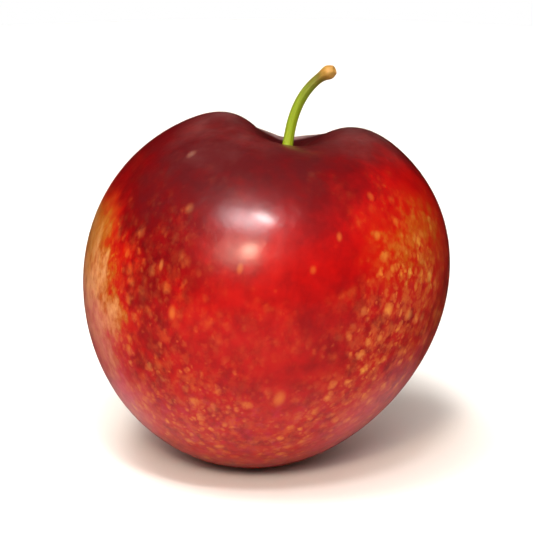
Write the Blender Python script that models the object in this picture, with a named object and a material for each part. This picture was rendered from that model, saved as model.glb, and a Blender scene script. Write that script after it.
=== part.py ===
"""A plum cherry as picked: one round fruit with a deep stem cavity, and the short bent stem that stands in it.

Metres, +Z up. The origin is the middle of the small flat spot that the fruit rests on.
The fruit is described round its own axis, from the stem end to the blossom end, and then leaned:
theta is the angle from the stem end, phi goes round the axis from +X, and the suture is at the back, at +Y.
"""
import math

import bmesh
import bpy
import numpy as np
from mathutils import Matrix, Vector

MM = 0.001

# The flesh: a ball, and the waves that make it broad at the stem end and narrower at the blossom end
BALL_RADIUS = 20.0 * MM
OVAL_WAVE = 0.18 * MM
TAPER_WAVE = -0.40 * MM
LOPSIDED = 1.04 * MM

# The stem cavity, and the saddle that runs through it from the front to the back
CAVITY_DEPTH = 5.6 * MM
CAVITY_ANGLE = math.radians(14.6)
SADDLE_DEPTH = 3.7 * MM
SADDLE_ANGLE = math.radians(37.0)
SADDLE_START = math.radians(11.5)

# The suture, a shallow groove down the back, and the dimple at the blossom end
SUTURE_DEPTH = 0.45 * MM
SUTURE_ANGLE = math.radians(5.5)
SUTURE_END = math.radians(11.5)
BLOSSOM_DEPTH = 0.35 * MM
BLOSSOM_ANGLE = math.radians(3.5)

# How the fruit lies, and how much of its underside the resting spot takes
LEAN_RIGHT = math.radians(9.8)
LEAN_BACK = math.radians(12.0)
SPOT_RISE = 0.45 * MM

# The stem, with its foot in a socket at the bottom of the cavity
STEM_RADIUS = 0.60 * MM
NECK_RADIUS = 0.53 * MM
FOOT_RADIUS = 0.92 * MM
FOOT_HEIGHT = 1.1 * MM
KNOB_RADIUS = 0.80 * MM
KNOB_LENGTH = 0.75 * MM
END_RADIUS = 0.45 * MM
STEM_LENGTH = 12.0 * MM
BEND_START = 0.21
BEND_GROWTH = 1.5
BEND_RIGHT = math.radians(58.0)
BEND_FRONT = math.radians(16.0)
SOCKET_GAP = 0.3 * MM
SOCKET_DEPTH = 1.0 * MM

# How finely the surfaces are cut into faces, and how near the flat spot's plane a corner is moved onto it
MERIDIANS = 72
RINGS = 44
END_CROWDING = 0.07
CUT_MERGE = 0.02 * MM
SHARP_ANGLE = math.radians(40.0)
STEM_POINTS = 40
STEM_SIDES = 3

SKIN_COLOUR = (0.44, 0.018, 0.012, 1.0)
SKIN_ROUGHNESS = 0.28
STEM_COLOUR = (0.40, 0.41, 0.06, 1.0)
STEM_ROUGHNESS = 0.6


def clear_scene():
    for item in list(bpy.data.objects):
        bpy.data.objects.remove(item, do_unlink=True)


def make_material(name, colour, roughness):
    material = bpy.data.materials.new(name)
    material.use_nodes = True
    shader = material.node_tree.nodes["Principled BSDF"]
    shader.inputs["Base Color"].default_value = colour
    shader.inputs["Roughness"].default_value = roughness
    shader.inputs["Metallic"].default_value = 0.0
    return material


def bell(angle, width):
    """1 in the middle, falling smoothly to 0 past the width."""
    return np.exp(-((angle / width) ** 2))


def skin_distance(theta, phi):
    """How far the skin lies from the middle of the ball, in the direction theta, phi."""
    flesh = BALL_RADIUS + OVAL_WAVE * np.cos(2 * theta) + TAPER_WAVE * np.cos(3 * theta)
    flesh += LOPSIDED * np.sin(theta) * np.cos(theta) * np.cos(phi)
    in_cavity = bell(theta, CAVITY_ANGLE)
    in_saddle = bell(theta, SADDLE_ANGLE) * (1 - bell(theta, SADDLE_START)) * np.sin(phi) ** 2
    from_blossom = math.pi - theta
    behind = np.clip(np.sin(phi), 0, 1)
    in_suture = bell(np.sin(theta) * np.cos(phi), SUTURE_ANGLE) * behind
    in_suture *= (1 - in_cavity) * (1 - bell(from_blossom, SUTURE_END))
    flesh -= CAVITY_DEPTH * in_cavity + SADDLE_DEPTH * in_saddle
    flesh -= SUTURE_DEPTH * in_suture + BLOSSOM_DEPTH * bell(from_blossom, BLOSSOM_ANGLE)
    return flesh


def skin_point(theta, phi):
    distance = skin_distance(theta, phi)
    return Vector((
        distance * math.sin(theta) * math.cos(phi),
        distance * math.sin(theta) * math.sin(phi),
        distance * math.cos(theta),
    ))


def cavity_floor():
    """The height of the cavity's floor over the middle of the ball."""
    return float(skin_distance(0.0, 0.0))


def ring_angles():
    """Angles from the stem end, closer together in the cavity and at the blossom end."""
    steps = np.linspace(0, 1, RINGS + 1)[:-1]
    first = (FOOT_RADIUS + SOCKET_GAP) / cavity_floor()
    return first + (math.pi - first) * (steps - END_CROWDING * np.sin(2 * math.pi * steps))


def add_ring(mesh, points):
    return [mesh.verts.new(point) for point in points]


def join_rings(mesh, upper, lower):
    count = len(upper)
    for i in range(count):
        j = (i + 1) % count
        mesh.faces.new((upper[i], lower[i], lower[j], upper[j]))


def close_ring(mesh, ring, middle, upward):
    tip = mesh.verts.new(middle)
    count = len(ring)
    for i in range(count):
        j = (i + 1) % count
        mesh.faces.new((tip, ring[i], ring[j]) if upward else (tip, ring[j], ring[i]))


def fruit_pose():
    """From the fruit's own frame, round the middle of the ball, to how it leans."""
    return Matrix.Rotation(LEAN_RIGHT, 4, "Y") @ Matrix.Rotation(-LEAN_BACK, 4, "X")


def fruit_mesh():
    """The skin ring by ring from the socket to the blossom end, still round the middle of the ball."""
    mesh = bmesh.new()
    turns = [2 * math.pi * i / MERIDIANS for i in range(MERIDIANS)]
    socket_radius = FOOT_RADIUS + SOCKET_GAP
    socket_floor = cavity_floor() - SOCKET_DEPTH
    floor = [
        Vector((socket_radius * math.cos(phi), socket_radius * math.sin(phi), socket_floor))
        for phi in turns
    ]
    ring = add_ring(mesh, floor)
    close_ring(mesh, ring, Vector((0, 0, socket_floor)), True)
    for theta in ring_angles():
        below = add_ring(mesh, [skin_point(theta, phi) for phi in turns])
        join_rings(mesh, ring, below)
        ring = below
    close_ring(mesh, ring, skin_point(math.pi, 0.0), False)
    return mesh


def flatten_underside(mesh):
    """Cuts the flat resting spot, and returns its middle."""
    height = min(vert.co.z for vert in mesh.verts) + SPOT_RISE
    cut = bmesh.ops.bisect_plane(
        mesh,
        geom=mesh.verts[:] + mesh.edges[:] + mesh.faces[:],
        dist=CUT_MERGE,
        plane_co=(0, 0, height),
        plane_no=(0, 0, 1),
        clear_inner=True,
    )
    rim = [edge for edge in cut["geom_cut"] if isinstance(edge, bmesh.types.BMEdge)]
    spot = bmesh.ops.contextual_create(mesh, geom=rim)["faces"][0]
    for vert in spot.verts:
        vert.co.z = height
    return spot.calc_center_median_weighted()


def add_object(name, data, material):
    item = bpy.data.objects.new(name, data)
    item.data.materials.append(material)
    bpy.context.scene.collection.objects.link(item)
    return item


def make_fruit(material):
    mesh = fruit_mesh()
    mesh.transform(fruit_pose())
    place = flatten_underside(mesh)
    mesh.transform(Matrix.Translation(-place))
    bmesh.ops.recalc_face_normals(mesh, faces=mesh.faces)
    data = bpy.data.meshes.new("fruit")
    mesh.to_mesh(data)
    mesh.free()
    data.shade_smooth()
    data.set_sharp_from_angle(angle=SHARP_ANGLE)
    add_object("fruit", data, material)
    return place


def stem_radius(share):
    """The stem's radius at a share of its length: a flared foot, a slim neck and a swollen end."""
    along = share * STEM_LENGTH
    shaft = STEM_RADIUS + (NECK_RADIUS - STEM_RADIUS) * share
    foot = (FOOT_RADIUS - STEM_RADIUS) * bell(along, FOOT_HEIGHT)
    past_knob = along - (STEM_LENGTH - KNOB_LENGTH)
    knob = (KNOB_RADIUS - NECK_RADIUS) * bell(past_knob, KNOB_LENGTH)
    rounding = math.sqrt(max(0.0, 1 - max(0.0, past_knob / KNOB_LENGTH) ** 2))
    return END_RADIUS + (shaft + foot + knob - END_RADIUS) * rounding


def stem_route():
    """Points up the stem: straight out of the socket, then bending more and more to the right."""
    foot = Vector((0, 0, cavity_floor() - SOCKET_DEPTH + SOCKET_GAP))
    step = STEM_LENGTH / (STEM_POINTS - 1)
    points = [foot]
    for i in range(1, STEM_POINTS):
        share = i / (STEM_POINTS - 1)
        bent = max(0.0, (share - BEND_START) / (1 - BEND_START)) ** BEND_GROWTH
        heading = Matrix.Rotation(BEND_RIGHT * bent, 3, "Y") @ Matrix.Rotation(BEND_FRONT * bent, 3, "X")
        points.append(points[-1] + heading @ Vector((0, 0, step)))
    return points


def make_stem(material, place):
    data = bpy.data.curves.new("stem", "CURVE")
    data.dimensions = "3D"
    data.bevel_depth = 1.0
    data.bevel_resolution = STEM_SIDES
    data.use_fill_caps = True
    route = stem_route()
    spline = data.splines.new("POLY")
    spline.points.add(len(route) - 1)
    for i, point in enumerate(route):
        spline.points[i].co = (*point, 1.0)
        spline.points[i].radius = stem_radius(i / (len(route) - 1))
    stem = add_object("stem", data, material)
    stem.matrix_world = Matrix.Translation(-place) @ fruit_pose()
    return stem


def main():
    clear_scene()
    skin = make_material("skin", SKIN_COLOUR, SKIN_ROUGHNESS)
    bark = make_material("stem", STEM_COLOUR, STEM_ROUGHNESS)
    place = make_fruit(skin)
    make_stem(bark, place)


main()
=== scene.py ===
"""The looks of a plum cherry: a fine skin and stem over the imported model, with floor, lights and camera.

Metres, +Z up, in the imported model's frame. The camera looks along +Y and a little down.
The skin is described round the fruit's own axis, from the stem end to the blossom end, and then leaned.
"""

import math

import bmesh
import bpy
import numpy as np
from mathutils import Matrix, Vector


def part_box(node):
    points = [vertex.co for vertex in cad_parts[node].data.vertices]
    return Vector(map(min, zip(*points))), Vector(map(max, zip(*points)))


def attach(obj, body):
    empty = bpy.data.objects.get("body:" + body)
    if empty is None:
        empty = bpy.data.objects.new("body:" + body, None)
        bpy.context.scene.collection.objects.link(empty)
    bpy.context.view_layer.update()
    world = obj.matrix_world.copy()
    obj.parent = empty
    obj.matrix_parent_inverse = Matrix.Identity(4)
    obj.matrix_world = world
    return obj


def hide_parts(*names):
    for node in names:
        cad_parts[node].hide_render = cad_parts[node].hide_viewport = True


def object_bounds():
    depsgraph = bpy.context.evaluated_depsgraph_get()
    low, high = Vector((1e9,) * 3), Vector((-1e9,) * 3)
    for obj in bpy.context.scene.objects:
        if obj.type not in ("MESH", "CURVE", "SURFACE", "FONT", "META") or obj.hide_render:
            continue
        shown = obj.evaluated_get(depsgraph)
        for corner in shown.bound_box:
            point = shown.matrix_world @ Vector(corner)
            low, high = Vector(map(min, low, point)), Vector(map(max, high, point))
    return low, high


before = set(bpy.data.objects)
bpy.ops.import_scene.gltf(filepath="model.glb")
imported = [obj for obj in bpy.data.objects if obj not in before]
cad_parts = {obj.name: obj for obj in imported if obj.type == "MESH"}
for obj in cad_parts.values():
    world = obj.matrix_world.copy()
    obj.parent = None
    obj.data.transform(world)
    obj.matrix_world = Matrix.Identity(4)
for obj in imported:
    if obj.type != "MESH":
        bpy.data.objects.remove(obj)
CAD_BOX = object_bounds()

MM = 0.001
BLACK = (0.0, 0.0, 0.0, 1.0)
WHITE = (1.0, 1.0, 1.0, 1.0)

# The skin: the sizes of the solid under it, then the socket's width, the slow lumps and how fine the
# mesh is. Whole numbers are counts
SKIN_SIZES = {
    "Ball Radius": 20.0 * MM,
    "Oval Wave": 0.18 * MM,
    "Taper Wave": -0.40 * MM,
    "Lopsided": 1.04 * MM,
    "Cavity Depth": 5.6 * MM,
    "Cavity Angle": math.radians(14.6),
    "Saddle Depth": 3.7 * MM,
    "Saddle Angle": math.radians(37.0),
    "Saddle Start": math.radians(11.5),
    "Suture Depth": 0.45 * MM,
    "Suture Angle": math.radians(5.5),
    "Suture End": math.radians(11.5),
    "Blossom Depth": 0.35 * MM,
    "Blossom Angle": math.radians(3.5),
    "Socket Depth": 1.0 * MM,
    "Socket Angle": math.radians(4.4),
    "Socket Spread": 1.25,
    "Lump Depth": 0.14 * MM,
    "Lump Size": 13.0 * MM,
    "End Crowding": 0.16,
    "Segments": 320,
    "Rings": 260,
}
LEAN_RIGHT = math.radians(9.8)
LEAN_BACK = math.radians(12.0)

# The stem: the thickness and the route of the solid under it, then its end, its ridges and how fine
# the mesh is
STEM_SIZES = {
    "Stem Radius": 0.60 * MM,
    "Neck Radius": 0.53 * MM,
    "Foot Radius": 0.92 * MM,
    "Foot Height": 1.1 * MM,
    "Knob Radius": 0.80 * MM,
    "Knob Length": 0.75 * MM,
    "End Radius": 0.45 * MM,
    "Stem Length": 12.0 * MM,
    "End Dimple": 0.16 * MM,
    "Ridge Depth": 0.05 * MM,
    "Sides": 48,
    "Rings": 220,
    "End Rings": 10,
}
ROUTE_POINTS = 40
BEND_START = 0.21
BEND_GROWTH = 1.5
BEND_RIGHT = math.radians(58.0)
BEND_FRONT = math.radians(16.0)
SOCKET_GAP = 0.3 * MM

# The two sets of ridges on the stem: how many go round it, and their twist in radians per metre
STEM_RIDGES = ((7.0, 160.0), (12.0, -240.0))

# How deep the red is, from 0 for the yellow ground to 1 for the darkest crimson, and what moves it:
# azimuth and elevation as the fruit lies, with 0, 0 at the front and the right positive, the angle
# inside which the zone is full, the angle where it ends, all in degrees, and how far it moves the red
BLUSH = 0.56
BLUSH_ZONES = {
    "dark cap": (10, 90, 22, 64, 0.34),
    "dark upper left": (-36, 41, 6, 38, 0.18),
    "dark upper right": (30, 50, 6, 30, 0.10),
    "orange cheek": (60, 31, 5, 32, -0.22),
    "right of the middle": (28, 2, 6, 24, 0.05),
    "left of the highlights": (-54, 24, 6, 22, 0.08),
    "left of the middle": (-46, 0, 6, 24, 0.07),
    "left, towards the back": (-124, 2, 8, 56, -0.07),
    "low left": (-66, -20, 4, 30, -0.10),
    "dark right of the back": (150, 30, 14, 60, 0.24),
    "pale left of the back": (-150, -8, 10, 60, -0.11),
    "low right, towards the back": (118, -22, 6, 40, -0.14),
}
BLUSH_COLOURS = (
    (0.0, "CC8C5C"),
    (0.12, "BE7846"),
    (0.27, "A44A08"),
    (0.39, "A81403"),
    (0.52, "A10504"),
    (0.66, "820205"),
    (0.82, "660206"),
    (1.0, "500D11"),
)
FLECK_COLOURS = (
    (0.15, "CC9A54"),
    (0.42, "D08830"),
    (0.60, "C4702C"),
    (0.85, "84502E"),
    (1.0, "74463A"),
)

# Zones of the skin that the flecks and the tints follow, given as above
SKIN_ZONES = {
    "plain front": (6, 4, 15, 46),
    "left side": (-60, 0, 8, 40),
    "right side": (55, 4, 9, 38),
    "low right": (48, -30, 8, 38),
    "low left": (-38, -26, 6, 34),
    "right rim": (96, 8, 8, 34),
    "pale patch": (-88, 4, 27, 47),
    "patch middle": (-78, 4, 14, 62),
    "patch top": (-84, 24, 5, 20),
    "stem end": (0, 90, 51, 72),
    "blossom end": (0, -90, 62, 96),
    "left shoulder": (-52, 74, 2, 26),
    # The last two zones carry a pinkish bloom on the lower edges, which also paints in the white table's
    # reflection there
    "bloom and sheen left": (-78, -22, 4, 34),
    "bloom and sheen right": (66, -42, 4, 36),
}

# Bands of the skin: what is measured, where the band begins and where it is full. The height goes
# from -1 at the blossom end to 1 at the stem end, and the other measures are in mm
SKIN_BANDS = {
    "lower": ("height", 0.45, -0.15),
    "upper": ("height", 0.50, 0.85),
    "above the flecks": ("height", 0.15, 0.65),
    "underside": ("height", -0.35, -0.85),
    "shoulders": ("height", 0.72, 0.98),
    "clear of the stem": ("from_axis", 2.0, 7.0),
    # The two rim bands place a painted highlight on the cavity's far rim, where it catches the light
    "rim from inside": ("from_axis", 5.2, 6.4),
    "rim from outside": ("from_axis", 9.2, 6.8),
    # The wall band places painted shade on the cavity's far wall
    "cavity wall": ("from_axis", 5.9, 5.2),
    "far side": ("y", 1.5, 7.0),
    "back": ("y", 2.0, 7.0),
    "near the top": ("z", 8.0, 12.0),
    "stem end": ("z", 5.0, 10.0),
    "blossom end": ("z", -5.0, -10.0),
}

# Uneven patterns on the skin: whether they are drawn out along the fruit, waves per mm, layers of
# detail and how rough the layers are
SKIN_PATTERNS = {
    "clouds": ("own", 0.22, 3.0, 0.5),
    "bloom": ("own", 0.28, 4.0, 0.6),
    "freckling": ("own", 0.32, 3.0, 0.6),
    "wax": ("own", 0.9, 3.0, 0.5),
    # The next pattern breaks up the bloom, the painted sheen on the lower edges and the painted highlight
    # on the far rim
    "bloom_and_sheen_noise": ("own", 1.5, 3.0, 0.6),
    "grain": ("drawn_out", 0.75, 3.0, 0.62),
    "rosy": ("drawn_out", 0.85, 3.0, 0.6),
    "mottles": ("drawn_out", 1.0, 3.0, 0.6),
}

# Small stains in mm: the ring round the stem's foot, the blossom scar and the suture
FOOT_RING_RADIUS = 1.5
FOOT_RING_WIDTH = 0.5
SCAR_RADIUS = 0.75
SUTURE_WIDTH = 0.9

# How far the edges of the zones and the outlines of the flecks wander, as a share of the fruit's
# radius and in mm, each with the waves per mm, and what the height is multiplied by in a pattern that
# is drawn out along the fruit
ZONE_DRIFT = 0.34
ZONE_DRIFT_WAVES = 0.24
FLECK_WOBBLE = 0.80
FLECK_WOBBLE_WAVES = 1.5
DRAWING_OUT = 0.75

# Pores and flecks by size: spacing and radius in mm, the share of places that have one, and softness
BIG_PORES = (2.9, 0.42, 0.5, 0.8)
FLECKS = (1.35, 0.66, 0.92, 1.0)
FINE_FLECKS = (0.80, 0.38, 0.90, 1.0)
STEM_PORES = (0.8, 0.10, 0.6, 0.5)

# The pores and flecks that stand out: azimuth and elevation, length and width in mm, and how pale
SINGLE_MARKS = (
    (-49, 58, 1.8, 1.3, 1.3),
    (-31, 39, 1.8, 1.5, 0.75),
    (-8, 22, 1.7, 1.0, 0.6),
    (16, 21, 1.3, 1.0, 0.32),
    (27, 30, 1.4, 0.9, 0.55),
    (42, 28, 1.5, 1.2, 0.45),
    (47, 40, 1.5, 1.1, 0.42),
    (45, 17, 1.4, 1.1, 0.6),
    (-30, 6, 2.4, 1.3, 0.55),
    (5, -22, 3.2, 1.9, 0.65),
    (-36, 20, 1.8, 0.8, 1.0),
    (39, -4, 1.4, 1.2, 1.1),
)

# The relief of the peel, in waves per mm and height
PEEL_WAVES = ((0.45, 2.2), (1.3, 0.45), (5.0, 0.06))

# The stem's colour along its length, and how fine its fibres are round it and along it
STEM_COLOURS = (
    (0.0, "5E6416"),
    (0.16, "90A61A"),
    (0.5, "889E18"),
    (0.72, "74801E"),
    (0.84, "70641E"),
    (0.93, "B0843A"),
)
FIBRES_ROUND = 5.0
FIBRES_ALONG = 0.5

# The table, and the share of it that is lost in what the skin mirrors: near the fruit, and a further
# share from the first distance to the second. The last value is the share of the room that is lost
TABLE_COLOUR = "F4F2EF"
TABLE_RADIUS = 180.0 * MM
TABLE_SIDES = 96
TABLE_DIMMING = 0.66
FAR_DIMMING = 0.34
DIMMING_START = 17.0 * MM
DIMMING_END = 34.0 * MM
ROOM_DIMMING = 0.96

# The light: a dim warm room under a bright ceiling, the sine of the height at which the ceiling
# begins, and how far away the lamps stand
ROOM_LIGHT = (0.13, 0.095, 0.075, 1.0)
CEILING_LIGHT = (0.84, 0.79, 0.74, 1.0)
CEILING_START = 0.20
LIGHT_DISTANCE = 0.7

# The camera, far away behind a long lens, and the width of the view at the fruit
VIEW_ELEVATION = math.radians(18.0)
VIEW_DISTANCE = 0.6
VIEW_WIDTH = 58.0 * MM
NEAREST_SEEN = 10.0 * MM
SENSOR_WIDTH_IN_MM = 36.0


def colour(code):
    """A colour written as in a paint program, as the linear values that the shaders take."""
    parts = [int(code[i:i + 2], 16) / 255 for i in (0, 2, 4)]
    return tuple(c / 12.92 if c <= 0.04045 else ((c + 0.055) / 1.055) ** 2.4 for c in parts) + (1.0,)


class Field:
    """A number that changes over a surface. Sums, products and quotients of fields are maths nodes."""

    def __init__(self, nodes, socket):
        self.nodes = nodes
        self.socket = socket

    def __add__(self, other):
        return self.nodes.maths("ADD", self, other)

    def __sub__(self, other):
        return self.nodes.maths("SUBTRACT", self, other)

    def __mul__(self, other):
        return self.nodes.maths("MULTIPLY", self, other)

    def __truediv__(self, other):
        return self.nodes.maths("DIVIDE", self, other)

    def __radd__(self, other):
        return self.nodes.maths("ADD", other, self)

    def __rsub__(self, other):
        return self.nodes.maths("SUBTRACT", other, self)

    def __rmul__(self, other):
        return self.nodes.maths("MULTIPLY", other, self)

    def __rtruediv__(self, other):
        return self.nodes.maths("DIVIDE", other, self)

    def __neg__(self):
        return self.nodes.maths("MULTIPLY", self, -1.0)


class Nodes:
    """A node tree under construction. Inputs take numbers, colours, sockets and fields alike."""

    def __init__(self, tree):
        self.tree = tree

    def add(self, kind, inputs=None, **settings):
        node = self.tree.nodes.new(kind)
        for name, value in settings.items():
            setattr(node, name, value)
        self.fill(node, inputs or {})
        return node

    def fill(self, node, inputs):
        for key, value in inputs.items():
            self.feed(node.inputs[key], value)

    def feed(self, socket, value):
        if isinstance(value, Field):
            value = value.socket
        if isinstance(value, bpy.types.NodeSocket):
            self.tree.links.new(value, socket)
        else:
            socket.default_value = value

    def maths(self, operation, first, second=None, clamp=False):
        given = {0: first} if second is None else {0: first, 1: second}
        node = self.add("ShaderNodeMath", given, operation=operation, use_clamp=clamp)
        return Field(self, node.outputs[0])

    def sin(self, angle):
        return self.maths("SINE", angle)

    def cos(self, angle):
        return self.maths("COSINE", angle)

    def root(self, value):
        return self.maths("SQRT", value)

    def most(self, first, second):
        return self.maths("MAXIMUM", first, second)

    def between(self, value):
        """The value kept between 0 and 1."""
        return self.maths("ADD", value, 0.0, clamp=True)

    def bell(self, value, width):
        """1 in the middle, falling smoothly to 0 past the width."""
        return self.maths("EXPONENT", -((value / width) * (value / width)))

    def ease(self, value, start, end):
        """0 at the start, 1 at the end, and a smooth step between them."""
        given = {0: value, 1: start, 2: end}
        node = self.add("ShaderNodeMapRange", given, interpolation_type="SMOOTHSTEP", clamp=True)
        return Field(self, node.outputs[0])

    def vector(self, x, y, z):
        return self.add("ShaderNodeCombineXYZ", {0: x, 1: y, 2: z}).outputs[0]

    def parts(self, vector):
        return [Field(self, out) for out in self.add("ShaderNodeSeparateXYZ", {0: vector}).outputs]

    def vectors(self, operation, first, second=None):
        """The vector that comes of one vector or of two."""
        given = {0: first} if second is None else {0: first, 1: second}
        return self.add("ShaderNodeVectorMath", given, operation=operation).outputs[0]

    def scaled(self, vector, scale):
        given = {0: vector, "Scale": scale}
        return self.add("ShaderNodeVectorMath", given, operation="SCALE").outputs[0]

    def dot(self, first, second):
        node = self.add("ShaderNodeVectorMath", {0: first, 1: second}, operation="DOT_PRODUCT")
        return Field(self, node.outputs["Value"])

    def length(self, vector):
        node = self.add("ShaderNodeVectorMath", {0: vector}, operation="LENGTH")
        return Field(self, node.outputs["Value"])

    def attribute(self, name, output):
        """What the mesh keeps at its points under a name."""
        return self.add("ShaderNodeAttribute", attribute_name=name).outputs[output]

    def noise(self, vector, scale, detail=2.0, roughness=0.5):
        given = {"Vector": vector, "Scale": scale, "Detail": detail, "Roughness": roughness}
        return Field(self, self.add("ShaderNodeTexNoise", given).outputs[0])

    def noise_vector(self, vector, scale, detail):
        given = {"Vector": vector, "Scale": scale, "Detail": detail}
        return self.add("ShaderNodeTexNoise", given).outputs[1]

    def bump(self, height, strength, depth):
        given = {"Height": height, "Strength": strength, "Distance": depth}
        return self.add("ShaderNodeBump", given).outputs[0]

    def blend(self, share, first, second, how="MIX"):
        """The first colour, with a share of the second over it."""
        node = self.add("ShaderNodeMix", data_type="RGBA", blend_type=how)
        self.fill(node, {0: share, 6: first, 7: second})
        return node.outputs[2]

    def ramp(self, value, stops):
        """A colour for each value, from stops of a place and a colour code."""
        node = self.add("ShaderNodeValToRGB", {0: value})
        marks = node.color_ramp.elements
        while len(marks) < len(stops):
            marks.new(1.0)
        for mark, (place, code) in zip(marks, stops):
            mark.position = place
            mark.color = colour(code)
        return node.outputs[0]

    def group_inputs(self, kinds):
        """Named inputs of a group: a name to a socket type and a default value."""
        for name, (kind, value) in kinds.items():
            socket = self.tree.interface.new_socket(name, in_out="INPUT", socket_type=kind)
            if value is not None:
                socket.default_value = value
        source = self.add("NodeGroupInput")
        return {name: Field(self, source.outputs[name]) for name in kinds}

    def group_outputs(self, given):
        """Named outputs of a group: a name to a socket type and what comes out."""
        for name, (kind, value) in given.items():
            self.tree.interface.new_socket(name, in_out="OUTPUT", socket_type=kind)
        self.add("NodeGroupOutput", {name: value for name, (kind, value) in given.items()})


def size_inputs(sizes):
    """Sockets for a geometry tree: its sizes, its whole numbers and its material."""
    kinds = {}
    for name, value in sizes.items():
        kind = "NodeSocketInt" if isinstance(value, int) else "NodeSocketFloat"
        kinds[name] = (kind, value)
    kinds["Material"] = ("NodeSocketMaterial", None)
    return kinds


def new_geometry_tree(name):
    return Nodes(bpy.data.node_groups.new(name, "GeometryNodeTree"))


def finish_geometry(nodes, geometry, material):
    real = nodes.add("GeometryNodeRealizeInstances", {0: geometry}).outputs[0]
    smooth = nodes.add("GeometryNodeSetShadeSmooth", {0: real}).outputs[0]
    done = nodes.add("GeometryNodeSetMaterial", {"Geometry": smooth, "Material": material}).outputs[0]
    nodes.group_outputs({"Geometry": ("NodeSocketGeometry", done)})


def store(nodes, geometry, name, value, kind="FLOAT"):
    given = {"Geometry": geometry, "Name": name, "Value": value}
    return nodes.add("GeometryNodeStoreNamedAttribute", given, data_type=kind, domain="POINT").outputs[0]


def skin_distance(nodes, size, theta, phi):
    """How far the skin lies from the middle of the ball, in the direction theta, phi."""
    sin_theta, cos_theta = nodes.sin(theta), nodes.cos(theta)
    sin_phi, cos_phi = nodes.sin(phi), nodes.cos(phi)
    flesh = size["Ball Radius"] + size["Oval Wave"] * nodes.cos(theta * 2.0)
    lopsided = size["Lopsided"] * sin_theta * cos_theta * cos_phi
    flesh += size["Taper Wave"] * nodes.cos(theta * 3.0) + lopsided
    in_cavity = nodes.bell(theta, size["Cavity Angle"])
    past_start = 1.0 - nodes.bell(theta, size["Saddle Start"])
    in_saddle = nodes.bell(theta, size["Saddle Angle"]) * past_start * sin_phi * sin_phi
    from_blossom = math.pi - theta
    in_suture = nodes.bell(sin_theta * cos_phi, size["Suture Angle"]) * nodes.between(sin_phi)
    in_suture = in_suture * (1.0 - in_cavity) * (1.0 - nodes.bell(from_blossom, size["Suture End"]))
    flesh -= size["Cavity Depth"] * in_cavity + size["Saddle Depth"] * in_saddle
    flesh -= size["Suture Depth"] * in_suture
    flesh -= size["Blossom Depth"] * nodes.bell(from_blossom, size["Blossom Angle"])
    in_socket = 1.0 - nodes.ease(theta, size["Socket Angle"], size["Socket Angle"] * size["Socket Spread"])
    return flesh - size["Socket Depth"] * in_socket


def skin_tree():
    """A sphere whose points are moved to the skin and leaned, each keeping its own place for the finish."""
    nodes = new_geometry_tree("plum cherry skin")
    size = nodes.group_inputs(size_inputs(SKIN_SIZES))
    given = {"Segments": size["Segments"], "Rings": size["Rings"], "Radius": 1.0}
    sphere = nodes.add("GeometryNodeMeshUVSphere", given).outputs[0]
    x, y, z = nodes.parts(nodes.add("GeometryNodeInputPosition").outputs[0])
    even = nodes.maths("ARCCOSINE", z)
    theta = even - size["End Crowding"] * nodes.sin(even * 2.0)
    phi = nodes.maths("ARCTAN2", y, x)
    sin_theta = nodes.sin(theta)
    heading = nodes.vector(sin_theta * nodes.cos(phi), sin_theta * nodes.sin(phi), nodes.cos(theta))
    lumps = nodes.noise(heading, size["Ball Radius"] / size["Lump Size"], 1.0)
    distance = skin_distance(nodes, size, theta, phi) - size["Lump Depth"] * lumps
    place = nodes.scaled(heading, distance)
    kept = store(nodes, sphere, "own_mm", nodes.scaled(place, 1 / MM), "FLOAT_VECTOR")
    moved = nodes.add("GeometryNodeSetPosition", {"Geometry": kept, "Position": place}).outputs[0]
    lean = {"Geometry": moved, "Rotation": (-LEAN_BACK, LEAN_RIGHT, 0.0)}
    finish_geometry(nodes, nodes.add("GeometryNodeTransform", lean).outputs[0], size["Material"])
    return nodes.tree


def stem_radius(nodes, size, along):
    """The stem's radius at a distance along it: a flared foot, a slim neck and a swollen end."""
    share = along / size["Stem Length"]
    shaft = size["Stem Radius"] + (size["Neck Radius"] - size["Stem Radius"]) * share
    foot = (size["Foot Radius"] - size["Stem Radius"]) * nodes.bell(along, size["Foot Height"])
    past_knob = along - (size["Stem Length"] - size["Knob Length"])
    knob = (size["Knob Radius"] - size["Neck Radius"]) * nodes.bell(past_knob, size["Knob Length"])
    over = nodes.between(past_knob / size["Knob Length"])
    rounding = nodes.root(1.0 - over * over)
    return size["End Radius"] + (shaft + foot + knob - size["End Radius"]) * rounding


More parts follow.
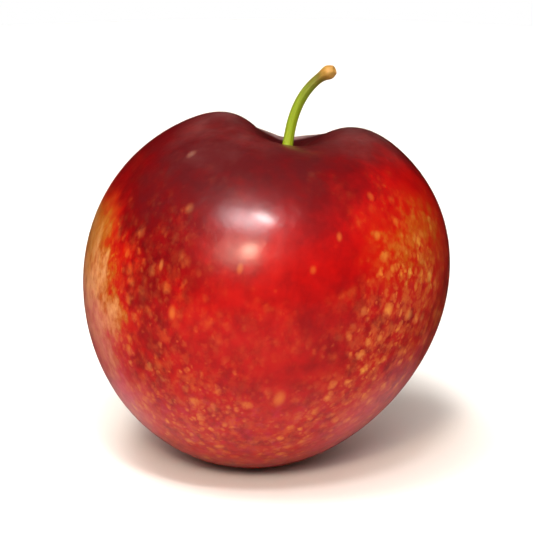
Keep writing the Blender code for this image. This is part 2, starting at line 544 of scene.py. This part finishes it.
def stem_tree():
    """A tube of rings along the route that it is given, with ridges down its sides and a dimpled end."""
    nodes = new_geometry_tree("plum cherry stem")
    nodes.tree.interface.new_socket("Geometry", in_out="INPUT", socket_type="NodeSocketGeometry")
    size = nodes.group_inputs(size_inputs(STEM_SIZES))
    route = nodes.tree.nodes["Group Input"].outputs["Geometry"]
    tube = nodes.add("GeometryNodeMeshCylinder", {
        "Vertices": size["Sides"],
        "Side Segments": size["Rings"],
        "Fill Segments": size["End Rings"],
        "Radius": 1.0,
        "Depth": 1.0,
    }, fill_type="TRIANGLE_FAN").outputs[0]
    x, y, z = nodes.parts(nodes.add("GeometryNodeInputPosition").outputs[0])
    share = nodes.between(z + 0.5)
    angle = nodes.maths("ARCTAN2", y, x)
    inside = nodes.root(x * x + y * y)
    along = share * size["Stem Length"]
    ridges = sum(nodes.cos(angle * count + along * twist) for count, twist in STEM_RIDGES)
    radius = stem_radius(nodes, size, along) - size["Ridge Depth"] * (ridges * 0.25 + 0.5)
    spot = nodes.add("GeometryNodeSampleCurve", {"Curves": route, "Factor": share}, mode="FACTOR")
    tangent, normal = spot.outputs["Tangent"], spot.outputs["Normal"]
    across = nodes.vectors("CROSS_PRODUCT", tangent, normal)
    dimple = size["End Dimple"] * nodes.ease(inside, 1.0, 0.2) * nodes.ease(share, 0.9, 1.0)
    place = nodes.vectors("ADD", nodes.scaled(normal, x * radius), nodes.scaled(across, y * radius))
    place = nodes.vectors("ADD", place, nodes.scaled(tangent, -dimple))
    place = nodes.vectors("ADD", place, spot.outputs["Position"])
    turned = nodes.vector(nodes.cos(angle), nodes.sin(angle), along / MM)
    kept = store(nodes, tube, "round_and_along", turned, "FLOAT_VECTOR")
    kept = store(nodes, kept, "inside", inside)
    moved = nodes.add("GeometryNodeSetPosition", {"Geometry": kept, "Position": place}).outputs[0]
    finish_geometry(nodes, moved, size["Material"])
    return nodes.tree


def run_tree(name, source, tree, sizes, material):
    """Gives an object's geometry to a tree and keeps what comes out as a plain mesh piece."""
    modifier = source.modifiers.new("shape", "NODES")
    modifier.node_group = tree
    values = {**sizes, "Material": material}
    for socket in tree.interface.items_tree:
        if socket.in_out == "INPUT" and socket.name in values:
            modifier[socket.identifier] = values[socket.name]
    bpy.context.scene.collection.objects.link(source)
    ready = source.evaluated_get(bpy.context.evaluated_depsgraph_get())
    mesh = bpy.data.meshes.new_from_object(ready)
    bpy.data.objects.remove(source, do_unlink=True)
    mesh.name = name
    piece = bpy.data.objects.new(name, mesh)
    bpy.context.scene.collection.objects.link(piece)
    return piece


def points_of(mesh):
    flat = np.empty(len(mesh.vertices) * 3)
    mesh.vertices.foreach_get("co", flat)
    return flat.reshape(-1, 3)


def set_points(mesh, points):
    mesh.vertices.foreach_set("co", points.ravel())
    mesh.update()


def make_skin(material):
    """The fine skin, put where the solid fruit is and flattened where it rests. Returns the middle of
    its ball."""
    start = bpy.data.objects.new("skin start", bpy.data.meshes.new("skin start"))
    skin = run_tree("fruit_skin", start, skin_tree(), SKIN_SIZES, material)
    points = points_of(skin.data)
    lo, hi = (np.array(corner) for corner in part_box("fruit"))
    middle = (lo + hi) / 2 - (points.min(0) + points.max(0)) / 2
    middle[2] = hi[2] - points[:, 2].max()
    points += middle
    points[:, 2] = np.maximum(points[:, 2], lo[2])
    set_points(skin.data, points)
    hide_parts("fruit")
    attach(skin, "root")
    return Vector(middle)


def fruit_pose():
    """From the fruit's own frame, round the middle of the ball, to how it leans."""
    return Matrix.Rotation(LEAN_RIGHT, 4, "Y") @ Matrix.Rotation(-LEAN_BACK, 4, "X")


def cavity_floor():
    """The height of the cavity's floor over the middle of the ball."""
    size = SKIN_SIZES
    return size["Ball Radius"] + size["Oval Wave"] + size["Taper Wave"] - size["Cavity Depth"]


def stem_route():
    """Points up the stem: straight out of the socket, then bending more and more to the right."""
    points = [Vector((0, 0, cavity_floor() - SKIN_SIZES["Socket Depth"] + SOCKET_GAP))]
    step = STEM_SIZES["Stem Length"] / (ROUTE_POINTS - 1)
    for i in range(1, ROUTE_POINTS):
        share = i / (ROUTE_POINTS - 1)
        bent = max(0.0, (share - BEND_START) / (1 - BEND_START)) ** BEND_GROWTH
        heading = Matrix.Rotation(BEND_RIGHT * bent, 3, "Y") @ Matrix.Rotation(BEND_FRONT * bent, 3, "X")
        points.append(points[-1] + heading @ Vector((0, 0, step)))
    return points


def make_stem(material, middle):
    """The fine stem, along the same route as the solid one and no higher."""
    data = bpy.data.curves.new("stem route", "CURVE")
    data.dimensions = "3D"
    route = stem_route()
    spline = data.splines.new("POLY")
    spline.points.add(len(route) - 1)
    for place, point in zip(route, spline.points):
        point.co = (*place, 1.0)
    start = bpy.data.objects.new("stem route", data)
    stem = run_tree("fruit_stem", start, stem_tree(), STEM_SIZES, material)
    stem.data.transform(Matrix.Translation(middle) @ fruit_pose())
    points = points_of(stem.data)
    points[:, 2] -= max(0.0, points[:, 2].max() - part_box("stem")[1][2])
    set_points(stem.data, points)
    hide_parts("stem")
    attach(stem, "root")


def new_material(name):
    """An empty finish: its nodes and its shader."""
    material = bpy.data.materials.new(name)
    material.use_nodes = True
    shader = material.node_tree.nodes["Principled BSDF"]
    return material, Nodes(material.node_tree), shader


def speckle_group():
    """Round dots scattered through space, each with its own size and tone, as pores lie in a skin."""
    nodes = Nodes(bpy.data.node_groups.new("speckles", "ShaderNodeTree"))
    given = nodes.group_inputs({
        "Vector": ("NodeSocketVector", None),
        "Spacing": ("NodeSocketFloat", 1.0),
        "Radius": ("NodeSocketFloat", 0.3),
        "Share": ("NodeSocketFloat", 0.7),
        "Softness": ("NodeSocketFloat", 0.6),
    })
    spread = nodes.scaled(given["Vector"], 1.0 / given["Spacing"])
    cells = nodes.add("ShaderNodeTexVoronoi", {"Vector": spread, "Scale": 1.0, "Randomness": 1.0})
    distance = Field(nodes, cells.outputs["Distance"]) * given["Spacing"]
    luck, growth, tone = nodes.parts(cells.outputs["Color"])
    radius = given["Radius"] * (0.6 + growth * 0.8)
    dots = nodes.ease(distance, radius, radius * (1.0 - given["Softness"]))
    present = nodes.maths("LESS_THAN", luck, given["Share"])
    nodes.group_outputs({"Dots": ("NodeSocketFloat", dots * present), "Tone": ("NodeSocketFloat", tone)})
    return nodes.tree


def mark_group():
    """One oval mark on the skin: how much of it is here, from the direction of this place."""
    nodes = Nodes(bpy.data.node_groups.new("single mark", "ShaderNodeTree"))
    names = ("Heading", "Toward", "Along", "Across")
    given = nodes.group_inputs({name: ("NodeSocketVector", None) for name in names})
    apart = nodes.vectors("SUBTRACT", given["Heading"], given["Toward"])
    along = nodes.dot(apart, given["Along"])
    across = nodes.dot(apart, given["Across"])
    here = nodes.ease(nodes.root(along * along + across * across), 1.0, 0.1)
    this_side = nodes.maths("GREATER_THAN", nodes.dot(given["Heading"], given["Toward"]), 0.0)
    nodes.group_outputs({"Mark": ("NodeSocketFloat", here * this_side)})
    return nodes.tree


def placed(nodes, group, given):
    """A group put in a material with its own values, and what comes out of it."""
    node = nodes.tree.nodes.new("ShaderNodeGroup")
    node.node_tree = group
    nodes.fill(node, given)
    return [Field(nodes, out) for out in node.outputs]


def speckles(nodes, group, vector, spacing, radius, share, softness):
    """The dots of one size: how much of a dot is here, and the dot's tone."""
    return placed(nodes, group, {
        "Vector": vector,
        "Spacing": spacing,
        "Radius": radius,
        "Share": share,
        "Softness": softness,
    })


def own_heading(azimuth, elevation):
    """The direction in the fruit's own frame of a place seen at an azimuth and elevation as it lies."""
    a, e = math.radians(azimuth), math.radians(elevation)
    seen = Vector((math.sin(a) * math.cos(e), -math.cos(a) * math.cos(e), math.sin(e)))
    return fruit_pose().to_3x3().inverted() @ seen


def single_mark(nodes, group, heading, azimuth, elevation, length, width):
    """How much of an oval mark is here. It lies at a place on the skin, long towards the stem, with
    its length and width in mm."""
    toward = own_heading(azimuth, elevation)
    across = Vector((0, 0, 1)).cross(toward).normalized()
    along = toward.cross(across)
    reach = SKIN_SIZES["Ball Radius"] / MM * 2
    return placed(nodes, group, {
        "Heading": heading,
        "Toward": tuple(toward),
        "Along": tuple(along * reach / length),
        "Across": tuple(across * reach / width),
    })[0]


class SkinPlace:
    """Where a point of the skin lies, in each way that the finish reads it. Lengths are in mm, and the
    height goes from -1 to 1."""

    def __init__(self, nodes):
        self.nodes = nodes
        self.own = nodes.attribute("own_mm", "Vector")
        self.x, self.y, self.z = nodes.parts(self.own)
        self.from_axis = nodes.root(self.x * self.x + self.y * self.y)
        self.height = self.z / (SKIN_SIZES["Ball Radius"] / MM)
        self.drawn_out = nodes.vector(self.x, self.y, self.z * DRAWING_OUT)
        self.heading = nodes.vectors("NORMALIZE", self.own)
        drift = nodes.noise_vector(self.own, ZONE_DRIFT_WAVES, 5.0)
        drift = nodes.scaled(nodes.vectors("SUBTRACT", drift, (0.5, 0.5, 0.5)), ZONE_DRIFT)
        self.loose = nodes.vectors("NORMALIZE", nodes.vectors("ADD", self.heading, drift))
        self.left = self.zone("left side")
        self.right = self.zone("right side")
        self.low_sides = self.zone("low right") + self.zone("low left") * 0.8
        self.patch = self.pale_patch()

    def near(self, azimuth, elevation, inner, outer):
        """1 within the inner angle of a place, falling to 0 at the outer angle, with a loose edge."""
        nearness = self.nodes.dot(self.loose, tuple(own_heading(azimuth, elevation)))
        return self.nodes.ease(nearness, math.cos(math.radians(outer)), math.cos(math.radians(inner)))

    def zone(self, name):
        return self.near(*SKIN_ZONES[name])

    def band(self, name):
        measure, start, full = SKIN_BANDS[name]
        return self.nodes.ease(getattr(self, measure), start, full)

    def pattern(self, name):
        vector, waves, detail, roughness = SKIN_PATTERNS[name]
        return self.nodes.noise(getattr(self, vector), waves, detail, roughness)

    def pale_patch(self):
        """The pale crescent on the left side, which stops short of the stem end and fades low down."""
        patch = self.zone("pale patch") * (1.0 - self.zone("stem end"))
        patch = patch * (1.0 - self.zone("blossom end") * 0.55)
        return patch * (0.42 + self.zone("patch middle") * 0.58)


def freckled_share(nodes, at):
    """How thickly the skin is freckled: most low down and on the right, least on the plain front."""
    more = at.band("lower") * 0.80 + at.left * 0.18 + at.right * 0.70
    more += at.low_sides * 0.45 + at.patch * 0.25
    less = at.zone("plain front") * 0.75 + at.band("upper") * 0.25
    uneven = (at.pattern("freckling") - 0.5) * 1.5
    return nodes.between(0.14 + more - less + uneven)


def skin_blush(at, freckled):
    """How deep the red is, with a fine grain where the skin is freckled or pale."""
    blush = BLUSH + (at.pattern("clouds") - 0.5) * 0.22
    for *zone, push in BLUSH_ZONES.values():
        blush += at.near(*zone) * push
    grain = 0.5 - at.pattern("grain")
    return blush - at.patch * 0.41 + grain * (0.27 + freckled * 0.28 + at.patch * 0.30)


def skin_flecks(nodes, at, freckled, dots, mark):
    """How pale the flecks and pores make this place, and how far they stand out of the skin."""
    wobble = nodes.scaled(nodes.noise_vector(at.own, FLECK_WOBBLE_WAVES, 2.0), FLECK_WOBBLE)
    flecked = nodes.vectors("ADD", at.drawn_out, wobble)
    big, big_tone = speckles(nodes, dots, at.own, *BIG_PORES)
    middling, middling_tone = speckles(nodes, dots, flecked, *FLECKS)
    small, small_tone = speckles(nodes, dots, flecked, *FINE_FLECKS)
    mottles = nodes.ease(at.pattern("mottles"), 0.44, 0.70)
    pale = nodes.most(middling * (0.40 + middling_tone * 0.75), small * (0.22 + small_tone * 0.50))
    pale = nodes.most(pale, mottles * (0.24 + at.right * 0.06)) * freckled
    paler = at.right * 0.40 + at.low_sides * 0.28
    darker = at.left * 0.40 + at.band("above the flecks") * 0.30
    pale = pale * (1.0 - at.zone("right rim") * 0.45) * (1.0 + paler - darker)
    pale = nodes.most(pale, big * (0.12 + big_tone * 0.35) * (0.3 + freckled * 0.7))
    for *oval, strength in SINGLE_MARKS:
        pale = nodes.most(pale, single_mark(nodes, mark, at.heading, *oval) * strength)
    return pale, nodes.most(big, middling * freckled)


def skin_tints(nodes, at, patches, bloom):
    """What lies over the blush, from the first to the last: how much, its colour and how it mixes. Among
    them are a painted highlight on the cavity's far rim, painted shade on its far wall and a painted
    reflection of the table on the lower edges.
    """
    rosy = nodes.ease(at.pattern("rosy"), 0.48, 0.68) * at.band("underside")
    bloom_and_sheen_noise = at.pattern("bloom_and_sheen_noise")
    behind = at.band("far side") * at.band("near the top")
    # Painted highlight: a pale line on the cavity's far rim where it catches the light, mixed with bloom
    far_rim_painted_highlight = at.band("rim from inside") * at.band("rim from outside") * behind
    # Painted shade: the cavity's far wall is darkened where it lies in shadow
    far_wall_painted_shade = at.band("cavity wall") * behind
    # Pinkish bloom on the lower edges, which also paints in the white table's reflection there, a painted
    # reflection
    bloom_and_painted_sheen = at.zone("bloom and sheen left") * 0.9 + at.zone("bloom and sheen right") * 0.55
    at_foot = nodes.bell(at.from_axis - FOOT_RING_RADIUS, FOOT_RING_WIDTH) * at.band("stem end")
    scar = nodes.bell(at.from_axis, SCAR_RADIUS) * at.band("blossom end")
    in_suture = nodes.bell(at.x, SUTURE_WIDTH) * at.band("back")
    return (
        (rosy * 0.40, "A01440", "MIX"),
        (bloom * bloom_and_sheen_noise * 0.33, "A88E8A", "MIX"),
        # painted highlight on the far rim
        (far_rim_painted_highlight * bloom_and_sheen_noise * 1.05, "C0A09E", "MIX"),
        # painted shade on the far wall
        (far_wall_painted_shade * 0.7, "4A2A28", "MULTIPLY"),
        (at.zone("left shoulder") * patches * 0.06, "B08A86", "MIX"),
        (at.patch * at.zone("patch top") * 0.55, "A86A20", "MIX"),
        # bloom with a painted reflection of the table
        (bloom_and_painted_sheen * bloom_and_sheen_noise, "CC5C74", "MIX"),
        (at_foot * 0.35, "6C5A2C", "MIX"),
        (scar * 0.85, "5E3A20", "MIX"),
        (in_suture * 0.35, "3E0A10", "MULTIPLY"),
    )


def skin_finish(dots, mark):
    """Ripe skin: blush over a yellow ground, pale pores, a hazy bloom by the stem end and a waxy gloss."""
    material, nodes, shader = new_material("ripe skin")
    at = SkinPlace(nodes)
    freckled = freckled_share(nodes, at)
    blush = skin_blush(at, freckled)
    pale, raised = skin_flecks(nodes, at, freckled, dots, mark)
    patches = nodes.ease(at.pattern("bloom"), 0.30, 0.72)
    bloom = at.band("shoulders") * (0.35 + patches * 0.65) * at.band("clear of the stem")

    base = nodes.ramp(nodes.between(blush - pale * 0.10), BLUSH_COLOURS)
    fleck = nodes.ramp(nodes.between(blush), FLECK_COLOURS)
    base = nodes.blend(nodes.between(pale * 0.72), base, fleck)
    for share, code, how in skin_tints(nodes, at, patches, bloom):
        base = nodes.blend(share, base, colour(code), how)

    relief = raised * 0.30
    for waves, height in PEEL_WAVES:
        relief += nodes.noise(at.own, waves) * height
    uneven = (at.pattern("wax") - 0.5) * 0.10
    nodes.fill(shader, {
        "Base Color": base,
        "Roughness": 0.32 + bloom * 0.16 + uneven + pale * 0.06,
        "Normal": nodes.bump(relief, 0.5, 0.06 * MM),
        "IOR": 1.4,
        "Specular IOR Level": 0.38,
        "Coat Weight": nodes.between(0.45 - bloom * 0.27),
        "Coat Roughness": 0.15,
        "Coat IOR": 1.4,
        "Subsurface Weight": 0.06,
        "Subsurface Radius": (1.0, 0.28, 0.14),
        "Subsurface Scale": 1.2 * MM,
    })
    return material


def stem_finish(dots):
    """A green stalk with fine fibres, turning tan at its swollen end and brown on the cut."""
    material, nodes, shader = new_material("green stalk")
    wrapped = nodes.attribute("round_and_along", "Vector")
    inside = Field(nodes, nodes.attribute("inside", "Fac"))
    radius, length = STEM_SIZES["Stem Radius"] / MM, STEM_SIZES["Stem Length"] / MM
    x, y, along = nodes.parts(wrapped)
    drawn_out = nodes.vector(x * FIBRES_ROUND, y * FIBRES_ROUND, along * FIBRES_ALONG)
    fibres = nodes.noise(drawn_out, 1.0, 4.0, 0.6)
    blotches = nodes.noise(nodes.vector(x, y, along * 0.8), 1.1, 3.0)
    pores = speckles(nodes, dots, nodes.vector(x * radius, y * radius, along), *STEM_PORES)[0]
    cut = nodes.ease(inside, 0.97, 0.7) * nodes.ease(along, length - 1.0, length - 0.1)

    base = nodes.ramp(along / length + (blotches - 0.5) * 0.20, STEM_COLOURS)
    base = nodes.blend((fibres - 0.35) * 0.8, base, colour("5C6A20"), "MULTIPLY")
    base = nodes.blend(pores * 0.5, base, colour("C9C27A"))
    base = nodes.blend(cut * 0.8, base, colour("B8863E"))
    relief = fibres + nodes.noise(wrapped, 6.0, 3.0) * 0.4
    nodes.fill(shader, {
        "Base Color": base,
        "Roughness": 0.5 + (fibres - 0.5) * 0.25,
        "Normal": nodes.bump(relief, 0.35, 0.08 * MM),
        "IOR": 1.42,
        "Subsurface Weight": 0.08,
        "Subsurface Scale": 0.6 * MM,
    })
    return material


def table_finish():
    """Dull white. In what the skin mirrors it is darker, most of all away from the fruit."""
    material, nodes, shader = new_material("white table")
    distance = nodes.length(nodes.add("ShaderNodeTexCoord").outputs["Object"])
    in_gloss = Field(nodes, nodes.add("ShaderNodeLightPath").outputs["Is Glossy Ray"])
    far = nodes.ease(distance, DIMMING_START, DIMMING_END)
    dimming = in_gloss * (TABLE_DIMMING + FAR_DIMMING * far)
    base = nodes.blend(dimming, colour(TABLE_COLOUR), BLACK)
    nodes.fill(shader, {"Base Color": base, "Roughness": 0.7, "Specular IOR Level": 0.2})
    return material


def make_floor():
    """A round table under the fruit."""
    mesh = bmesh.new()
    bmesh.ops.create_circle(mesh, cap_ends=True, segments=TABLE_SIDES, radius=TABLE_RADIUS)
    data = bpy.data.meshes.new("floor")
    mesh.to_mesh(data)
    mesh.free()
    data.materials.append(table_finish())
    floor = bpy.data.objects.new("floor", data)
    bpy.context.scene.collection.objects.link(floor)


def make_world():
    """White behind the fruit. For the light on it, a soft ceiling over a dim warm room, duller in gloss."""
    world = bpy.data.worlds.new("studio")
    bpy.context.scene.world = world
    world.use_nodes = True
    nodes = Nodes(world.node_tree)
    height = nodes.parts(nodes.add("ShaderNodeTexCoord").outputs["Generated"])[2]
    ray = nodes.add("ShaderNodeLightPath")
    in_gloss = Field(nodes, ray.outputs["Is Glossy Ray"])
    room = nodes.blend(nodes.ease(height, CEILING_START, 1.0), ROOM_LIGHT, CEILING_LIGHT)
    room = nodes.blend(in_gloss * ROOM_DIMMING, room, BLACK)
    seen = nodes.blend(ray.outputs["Is Camera Ray"], room, WHITE)
    nodes.fill(world.node_tree.nodes["Background"], {"Color": seen, "Strength": 1.0})


def aimed(data, name, place, target):
    item = bpy.data.objects.new(name, data)
    item.location = place
    item.rotation_euler = (target - place).to_track_quat("-Z", "Y").to_euler()
    bpy.context.scene.collection.objects.link(item)
    return item


def around(target, azimuth, elevation, distance):
    """A place round the target: azimuth 0 is the camera's side, and positive is to the right of it."""
    flat = distance * math.cos(elevation)
    return target + Vector((
        flat * math.sin(azimuth),
        -flat * math.cos(azimuth),
        distance * math.sin(elevation),
    ))


def make_camera(target):
    data = bpy.data.cameras.new("camera")
    data.sensor_width = SENSOR_WIDTH_IN_MM
    data.lens = SENSOR_WIDTH_IN_MM * VIEW_DISTANCE / VIEW_WIDTH
    data.clip_start = NEAREST_SEEN
    place = around(target, 0.0, VIEW_ELEVATION, VIEW_DISTANCE)
    bpy.context.scene.camera = aimed(data, "camera", place, target)


def make_light(name, target, azimuth, elevation, size, brightness, tint, turn=0.0, full=0.0,
               lights=True, mirrors=True):
    """A window of light with soft edges: where it stands round the fruit in degrees, its width and
    height, how bright its middle is, how far it is turned, the share of it that is at full strength,
    and whether it lights dull surfaces and is mirrored in glossy ones."""
    data = bpy.data.lights.new(name, "AREA")
    data.shape = "ELLIPSE"
    data.size, data.size_y = size
    data.energy = brightness * math.pi * math.pi / 4 * size[0] * size[1]
    data.color = colour(tint)[:3]
    data.use_nodes = True
    nodes = Nodes(data.node_tree)
    u, v = nodes.parts(nodes.add("ShaderNodeNewGeometry").outputs["Parametric"])[:2]
    out = nodes.root((u - 0.5) * (u - 0.5) + (v - 0.5) * (v - 0.5)) * 2.0
    nodes.fill(data.node_tree.nodes["Emission"], {"Strength": nodes.ease(out, 1.0, full)})
    place = around(target, math.radians(azimuth), math.radians(elevation), LIGHT_DISTANCE)
    lamp = aimed(data, name, place, target)
    lamp.rotation_euler.rotate_axis("Z", math.radians(turn))
    lamp.visible_diffuse = lights
    lamp.visible_glossy = mirrors


def make_lights(target):
    """Two windows, a haze round each that is only mirrored, and two broad lamps that only light."""
    make_light("window", target, -3, 60, (0.215, 0.11), 66.0, "FFFDFC", turn=-30.0, full=0.4)
    make_light("window glow", target, -25, 57, (0.50, 0.32), 25.0, "FFF0F2", turn=-8.0, lights=False)
    make_light("overhead", target, -50, 72, (0.45, 0.40), 23.5, "FFFDF8", mirrors=False)
    make_light("front", target, -4, 35, (0.50, 0.40), 14.7, "FFFAF2", mirrors=False)
    make_light("low window", target, -12.5, 34, (0.18, 0.18), 46.0, "FFE4C6", turn=10.0, full=0.3)
    make_light("low window glow", target, -24, 32, (0.50, 0.34), 10.0, "FFDCC8", lights=False)


def main():
    dots = speckle_group()
    middle = make_skin(skin_finish(dots, mark_group()))
    make_stem(stem_finish(dots), middle)
    make_floor()
    make_world()
    make_lights(middle)
    lo, hi = CAD_BOX
    make_camera((lo + hi) / 2)
    bpy.context.scene.view_settings.view_transform = "Standard"


main()
